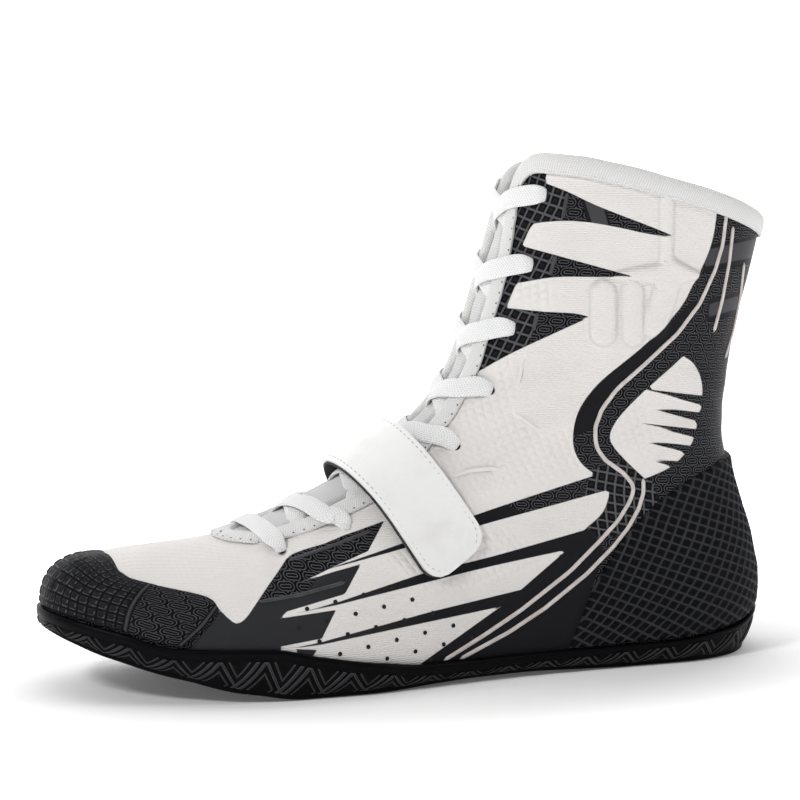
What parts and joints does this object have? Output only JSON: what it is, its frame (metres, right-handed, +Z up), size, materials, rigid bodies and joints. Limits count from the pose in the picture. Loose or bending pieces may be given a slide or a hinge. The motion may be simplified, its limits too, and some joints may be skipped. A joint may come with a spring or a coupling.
{
  "type": "boxing shoe",
  "caption": "High-cut left boxing shoe: hollow laced upper with a bound collar, instep strap, moulded toe cap and heel counter on a thin curved rubber cup sole.",
  "frame": {"origin": "on the floor under the middle of the shoe's bounding box", "axes": "+X from toe to heel, +Z up, -Y towards the outer (lateral) side of the left foot"},
  "size_m": [0.2928, 0.097, 0.1986],
  "materials": {
    "white_knit": "white coated knit with printed panels and perforations",
    "white_tape": "white woven binding tape",
    "white_leather": "white grained synthetic leather",
    "white_lace": "flat white woven lace",
    "grey_mesh": "pale grey spacer mesh",
    "grey_liner": "grey sock-liner cloth",
    "black_rubber": "black rubber, satin",
    "black_moulding": "black moulded overlay with a raised grid"
  },
  "bodies": {
    "root": {"outsole": "black_rubber", "insole": "grey_liner", "upper": "white_knit", "tongue": "grey_mesh", "binding": "white_tape", "toe_cap": "black_moulding", "heel_counter": "black_moulding", "strap": "white_leather", "lace_bar": "white_lace", "lace_cross_2": "white_lace", "lace_cross_3": "white_lace", "lace_cross_4": "white_lace", "lace_cross_5": "white_lace", "lace_cross_6": "white_lace", "lace_cross_7": "white_lace", "lace_cross_8": "white_lace"}
  },
  "joints": []
}
